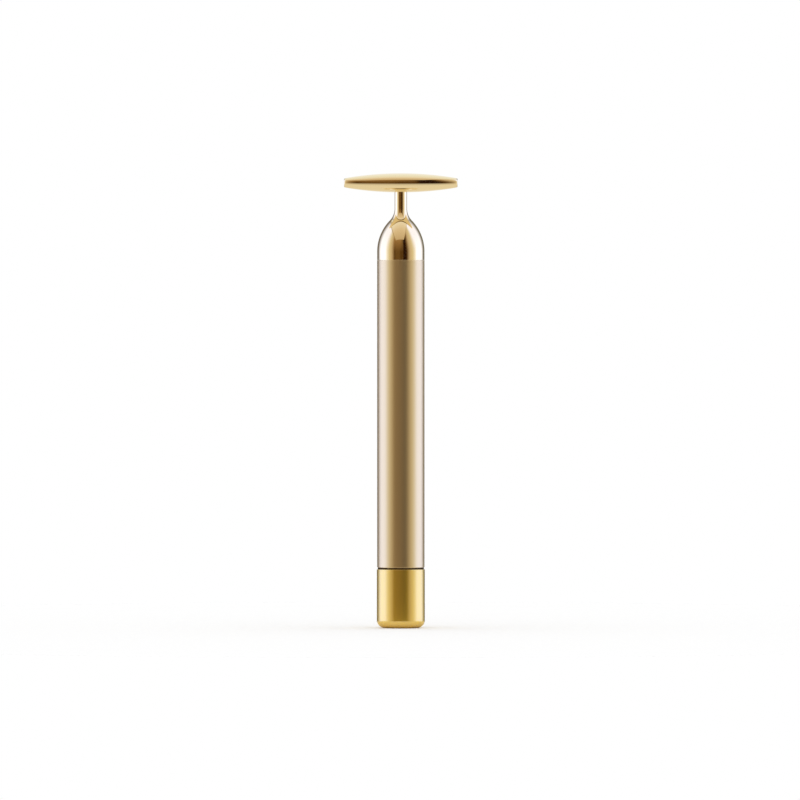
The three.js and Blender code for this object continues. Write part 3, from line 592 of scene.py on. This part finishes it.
FINISH_OF_SLOT = {
    "polished_gold": surface(
        "polished_gold", tone=(0.90, 0.78, 0.53), second=(0.895, 0.772, 0.52),
        metallic=1, roughness=0.06, unevenness=0.008, grain=400, depth=0.03e-6),
    "satin_gold": surface(
        "satin_gold", tone=(0.72, 0.573, 0.31), second=(0.71, 0.563, 0.30),
        metallic=1, roughness=0.36, unevenness=0.02, grain=3500, depth=1e-6,
        Specular_Tint=(0.75, 0.62, 0.5, 1), Coat_Weight=1, Coat_Roughness=0.2, Coat_IOR=2.1),
    "cap_gold": surface(
        "cap_gold", tone=(0.84, 0.60, 0.10), second=(0.83, 0.59, 0.095),
        metallic=1, roughness=0.36, unevenness=0.02, grain=3000, depth=0.5e-6,
        Specular_Tint=(0.7, 0.62, 0.4, 1), Coat_Weight=1, Coat_Roughness=0.1, Coat_IOR=2.4),
    "black_rubber": surface(
        "black_rubber", tone=(0.016, 0.009, 0.004), second=(0.021, 0.012, 0.006),
        metallic=0, roughness=0.7, unevenness=0.08, grain=7000, depth=6e-6,
        Specular_Tint=(1, 0.6, 0.25, 1)),
    "brass": surface(
        "machined_brass", tone=(0.80, 0.60, 0.27), second=(0.76, 0.56, 0.24),
        metallic=1, roughness=0.26, unevenness=0.08, grain=3500, depth=3e-6),
    "steel": surface(
        "plain_steel", tone=(0.55, 0.56, 0.57), second=(0.50, 0.51, 0.53),
        metallic=1, roughness=0.34, unevenness=0.10, grain=3000, depth=3e-6),
    "spring_steel": surface(
        "drawn_steel", tone=(0.66, 0.67, 0.68), second=(0.60, 0.61, 0.62),
        metallic=1, roughness=0.22, unevenness=0.08, grain=5000, depth=2e-6),
    "cell_jacket": surface(
        "jacket_film", tone=(0.035, 0.09, 0.20), second=(0.040, 0.10, 0.22),
        metallic=0, roughness=0.38, unevenness=0.05, grain=2500, depth=2e-6),
    "grey_plastic": surface(
        "grey_moulding", tone=(0.17, 0.18, 0.19), second=(0.19, 0.20, 0.21),
        metallic=0, roughness=0.52, unevenness=0.08, grain=4500, depth=8e-6),
    "white_plastic": surface(
        "white_moulding", tone=(0.78, 0.77, 0.73), second=(0.74, 0.73, 0.69),
        metallic=0, roughness=0.48, unevenness=0.08, grain=4500, depth=6e-6),
    "magnet": surface(
        "sintered_magnet", tone=(0.075, 0.072, 0.070), second=(0.10, 0.095, 0.09),
        metallic=0, roughness=0.62, unevenness=0.10, grain=6000, depth=10e-6),
    "copper": surface(
        "bare_copper", tone=(0.72, 0.32, 0.17), second=(0.66, 0.28, 0.14),
        metallic=1, roughness=0.30, unevenness=0.10, grain=4000, depth=3e-6),
    "red_lead": surface(
        "red_insulation", tone=(0.42, 0.025, 0.018), second=(0.38, 0.022, 0.016),
        metallic=0, roughness=0.42, unevenness=0.06, grain=3000, depth=4e-6),
    "black_lead": surface(
        "black_insulation", tone=(0.014, 0.014, 0.015), second=(0.018, 0.018, 0.019),
        metallic=0, roughness=0.42, unevenness=0.06, grain=3000, depth=4e-6),
}


# Pieces

def dress_frame():
    """Every CAD node takes the finish of its own slot."""
    for part in frame["record"]["subparts"]:
        node = frame["nodes"][part["node"]]
        node.data.materials.clear()
        node.data.materials.append(FINISH_OF_SLOT[part["material_slot"]])


def new_piece(mesh, slot, node):
    """A piece, named as its mesh, that stands for one CAD node and has the node's finish."""
    piece = bpy.data.objects.new(mesh.name, mesh)
    bpy.context.scene.collection.objects.link(piece)
    mesh.materials.append(FINISH_OF_SLOT[slot])
    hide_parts(node)
    return piece


def make_pieces():
    cap = new_piece(cap_mesh(), "cap_gold", "tail_cap")
    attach(cap, "tail")
    insert = new_piece(insert_mesh(), "brass", "cap_insert")
    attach(insert, "tail")
    ring = new_piece(ring_mesh(), "black_rubber", "seal_ring")
    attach(ring, "tail")
    barrel = new_piece(barrel_mesh(), "satin_gold", "barrel")
    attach(barrel, "handle")
    dome = new_piece(dome_mesh(), "polished_gold", "front_dome")
    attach(dome, "handle")
    head = new_piece(head_mesh(), "polished_gold", "massage_head")
    drill_head(head)
    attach(head, "handle")
    spring = new_piece(spring_mesh(), "spring_steel", "tail_spring")
    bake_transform(spring)


dress_frame()
make_pieces()


# Floor, studio and camera

# The disc under the bar, as wide as FOOT_R, which metal mirrors, and the apron round it, as wide
# as FLOOR_R, which it doesn't: there it mirrors the world's table
FOOT_R = 0.026
FLOOR_R = 0.3
FLOOR_Z = -HAIRLINE
WHITE = (1, 1, 1)
TABLE_TONE = (0.95, 0.86, 0.62)


def floor_mesh(name, inner, outer):
    """A flat disc, or a flat ring if the inner radius isn't 0."""
    bm = bmesh.new()
    rim = [bm.verts.new((x, y, FLOOR_Z)) for x, y in circle(outer, AROUND)]
    if inner:
        hole = [bm.verts.new((x, y, FLOOR_Z)) for x, y in circle(inner, AROUND)]
        bridge(bm, rim, hole)
    else:
        bm.faces.new(rim)
    mesh = bpy.data.meshes.new(name)
    bm.to_mesh(mesh)
    bm.free()
    return mesh


def make_floor():
    """White to the camera, of the table's tone to all else."""
    material = bpy.data.materials.new("floor_white")
    material.use_nodes = True
    tree = material.node_tree
    shader = tree.nodes["Principled BSDF"]
    seen = tree.nodes.new("ShaderNodeLightPath").outputs["Is Camera Ray"]
    tree.links.new(mix_colours(tree, seen, TABLE_TONE, WHITE), shader.inputs["Base Color"])
    shader.inputs["Roughness"].default_value = 1
    shader.inputs["Specular IOR Level"].default_value = 0
    for name, inner, outer in (("floor", 0, FOOT_R), ("floor_apron", FOOT_R, FLOOR_R)):
        mesh = floor_mesh(name, inner, outer)
        mesh.materials.append(material)
        floor = bpy.data.objects.new(name, mesh)
        floor.visible_glossy = inner == 0
        bpy.context.scene.collection.objects.link(floor)


# What metal sees round the studio at eye level: degrees from the camera's side towards +X
BACKDROP = (0.98, 0.98, 0.98)
LEFT_FLAG = (0.19, 0.165, 0.14)
RIGHT_FLAG = (0.21, 0.20, 0.165)
SOFTBOX = (1.30, 1.40, 1.93)
HIGH_SOFTBOX = (1.12, 1.19, 1.64)
SOFTBOX_RIM = (1.0, 0.98, 0.96)
WARM_FALLOFF = (0.78, 0.68, 0.45)
AMBER_FALLOFF = (0.62, 0.48, 0.31)
BROWN_DARK = (0.15, 0.075, 0.018)
BROWN_LIGHT = (0.36, 0.24, 0.12)
BROWN_MID = (0.235, 0.135, 0.05)
HIGH_BROWN = (0.36, 0.20, 0.07)
BROWN_DEEP = (0.098, 0.044, 0.008)
BROWN_EDGE = (0.10, 0.045, 0.008)
BLACK_FLAG = (0.022, 0.006, 0.001)
PANELS = [
    (-180, BACKDROP), (-173, BACKDROP), (-170, LEFT_FLAG), (-141, LEFT_FLAG), (-115, SOFTBOX),
    (-82, SOFTBOX), (-70, SOFTBOX_RIM), (-58, WARM_FALLOFF), (-46, AMBER_FALLOFF),
    (-38, BROWN_LIGHT), (-31, BROWN_EDGE), (-24, BROWN_DARK), (-8, BROWN_DARK), (0, BROWN_DEEP),
    (10, BROWN_EDGE), (14, BLACK_FLAG), (26, BLACK_FLAG), (31, BROWN_EDGE),
    (45, AMBER_FALLOFF), (61, WARM_FALLOFF), (73, SOFTBOX_RIM), (84, SOFTBOX), (119, SOFTBOX),
    (141, RIGHT_FLAG), (170, RIGHT_FLAG), (173, BACKDROP), (180, BACKDROP),
]

# The same panels HIGH degrees up, as high as the overhead card's front edge, with paler browns
HIGH_PANELS = [
    (-180, BACKDROP), (-173, BACKDROP), (-170, LEFT_FLAG), (-146, LEFT_FLAG), (-115, HIGH_SOFTBOX),
    (-78, HIGH_SOFTBOX), (-56, WARM_FALLOFF), (-45, AMBER_FALLOFF), (-36, HIGH_BROWN),
    (-2, HIGH_BROWN), (9, BROWN_MID), (14, BLACK_FLAG), (23, BLACK_FLAG), (29, BROWN_MID),
    (39, AMBER_FALLOFF), (56, WARM_FALLOFF), (74, HIGH_SOFTBOX), (118, HIGH_SOFTBOX),
    (144, RIGHT_FLAG), (170, RIGHT_FLAG), (173, BACKDROP), (180, BACKDROP),
]
HIGH = 32

# The overhead card, by degrees over the top from the camera's side to the back. Its edges lie
# where the height is so many times the distance to the left, to the right, or to front and back.
OVERHEAD = [
    (0, (0.58, 0.44, 0.27)), (33, (0.62, 0.47, 0.29)), (57, (0.76, 0.61, 0.42)),
    (75, (0.86, 0.76, 0.62)), (92, (0.92, 0.89, 0.80)), (112, (0.93, 0.94, 0.88)),
    (132, (0.96, 1.0, 1.0)), (180, (1.0, 1.0, 1.0)),
]
CARD_LEFT_SLOPE = 1.15
CARD_RIGHT_SLOPE = 2.0
CARD_FRONT_SLOPE = 0.61
CARD_EDGE_SOFTNESS = 0.03
CARD_EDGE_LINE = (0.40, 0.28, 0.13)
CARD_LINE_W = 0.05

# The table past the floor, in degrees from the horizon, near which it mirrors the panels a little
FAR_TABLE = (0.86, 0.78, 0.62)
HORIZON_FROM = -8
HORIZON_TO = -15
SHEEN_FROM = -45
TABLE_SHEEN = 0.38


def colour_ramp(tree, factor, stops):
    """A ramp over a factor in radians, with stops of (degrees, colour) from end to end."""
    lowest, highest = stops[0][0], stops[-1][0]
    ramp = tree.nodes.new("ShaderNodeValToRGB")
    elements = ramp.color_ramp.elements
    while len(elements) < len(stops):
        elements.new(0.5)
    for element, (degrees, colour) in zip(elements, stops):
        element.position = (degrees - lowest) / (highest - lowest)
        element.color = (*colour, 1)
    share = tree.nodes.new("ShaderNodeMapRange")
    share.inputs["From Min"].default_value = math.radians(lowest)
    share.inputs["From Max"].default_value = math.radians(highest)
    tree.links.new(factor, share.inputs["Value"])
    tree.links.new(share.outputs["Result"], ramp.inputs[0])
    return ramp.outputs["Color"]


def soft_step(tree, value, low, high):
    mask = tree.nodes.new("ShaderNodeMapRange")
    mask.interpolation_type = "SMOOTHSTEP"
    mask.inputs["From Min"].default_value = low
    mask.inputs["From Max"].default_value = high
    tree.links.new(value, mask.inputs["Value"])
    return mask.outputs["Result"]


def card_masks(tree, across, back, up):
    """Where the overhead card is, and where the line along its two side edges is."""
    left_slope = maths(tree, "MULTIPLY", across, -CARD_LEFT_SLOPE)
    right_slope = maths(tree, "MULTIPLY", across, CARD_RIGHT_SLOPE)
    past_side = maths(tree, "SUBTRACT", up, maths(tree, "MAXIMUM", left_slope, right_slope))
    front_slope = maths(tree, "MULTIPLY", maths(tree, "ABSOLUTE", back), CARD_FRONT_SLOPE)
    past_front = maths(tree, "SUBTRACT", up, front_slope)
    inside_sides = soft_step(tree, past_side, -CARD_EDGE_SOFTNESS, CARD_EDGE_SOFTNESS)
    inside_front = soft_step(tree, past_front, -CARD_EDGE_SOFTNESS, CARD_EDGE_SOFTNESS)
    near_side = soft_step(tree, maths(tree, "ABSOLUTE", past_side), CARD_LINE_W, 0)
    on_card = maths(tree, "MULTIPLY", inside_sides, inside_front)
    on_line = maths(tree, "MULTIPLY", near_side, inside_front)
    return on_card, on_line


def studio_colour(tree):
    """Panels round the horizon, the card overhead and the table below."""
    place = tree.nodes.new("ShaderNodeTexCoord")
    split = tree.nodes.new("ShaderNodeSeparateXYZ")
    tree.links.new(place.outputs["Generated"], split.inputs[0])
    across, back, up = (split.outputs[axis] for axis in "XYZ")
    ahead = maths(tree, "MULTIPLY", back, -1)
    around = maths(tree, "ARCTAN2", across, ahead)
    over = maths(tree, "ARCTAN2", maths(tree, "ABSOLUTE", up), ahead)
    height = maths(tree, "ARCSINE", up)

    eye_level = colour_ramp(tree, around, PANELS)
    higher = colour_ramp(tree, around, HIGH_PANELS)
    rise = tree.nodes.new("ShaderNodeMapRange")
    rise.inputs["From Max"].default_value = math.radians(HIGH)
    tree.links.new(height, rise.inputs["Value"])
    walls = mix_colours(tree, rise.outputs["Result"], eye_level, higher)

    on_card, on_line = card_masks(tree, across, back, up)
    studio = mix_colours(tree, on_card, walls, colour_ramp(tree, over, OVERHEAD))
    studio = mix_colours(tree, on_line, studio, CARD_EDGE_LINE)
    above = soft_step(tree, height, math.radians(HORIZON_TO), math.radians(HORIZON_FROM))
    sheen = soft_step(tree, height, math.radians(SHEEN_FROM), math.radians(HORIZON_TO))
    table = mix_colours(tree, maths(tree, "MULTIPLY", sheen, TABLE_SHEEN), FAR_TABLE, eye_level)
    return mix_colours(tree, above, table, studio)


def make_world():
    """Plain white, but the studio to rays that a glossy surface sends out."""
    world = bpy.data.worlds.new("studio")
    bpy.context.scene.world = world
    world.use_nodes = True
    tree = world.node_tree
    tree.nodes.clear()
    plain = tree.nodes.new("ShaderNodeBackground")
    plain.inputs["Color"].default_value = (*WHITE, 1)
    studio = tree.nodes.new("ShaderNodeBackground")
    tree.links.new(studio_colour(tree), studio.inputs["Color"])
    mix = tree.nodes.new("ShaderNodeMixShader")
    glossy = tree.nodes.new("ShaderNodeLightPath").outputs["Is Glossy Ray"]
    for socket, source in zip(mix.inputs, (glossy, plain.outputs[0], studio.outputs[0])):
        tree.links.new(source, socket)
    output = tree.nodes.new("ShaderNodeOutputWorld")
    tree.links.new(mix.outputs[0], output.inputs["Surface"])


CAMERA_X = -0.29 * MM
CAMERA_PLACE = (CAMERA_X, -4.0, 0.128)
CAMERA_AIM = (CAMERA_X, 0, 0.0793)
LENS = 517
SENSOR = 36


def make_camera():
    data = bpy.data.cameras.new("camera")
    data.sensor_width = SENSOR
    data.lens = LENS
    camera = bpy.data.objects.new("camera", data)
    bpy.context.scene.collection.objects.link(camera)
    camera.location = CAMERA_PLACE
    aim = Vector(CAMERA_AIM) - Vector(CAMERA_PLACE)
    camera.rotation_euler = aim.to_track_quat("-Z", "Y").to_euler()
    bpy.context.scene.camera = camera


make_floor()
make_world()
make_camera()
bpy.context.scene.view_settings.view_transform = "Standard"
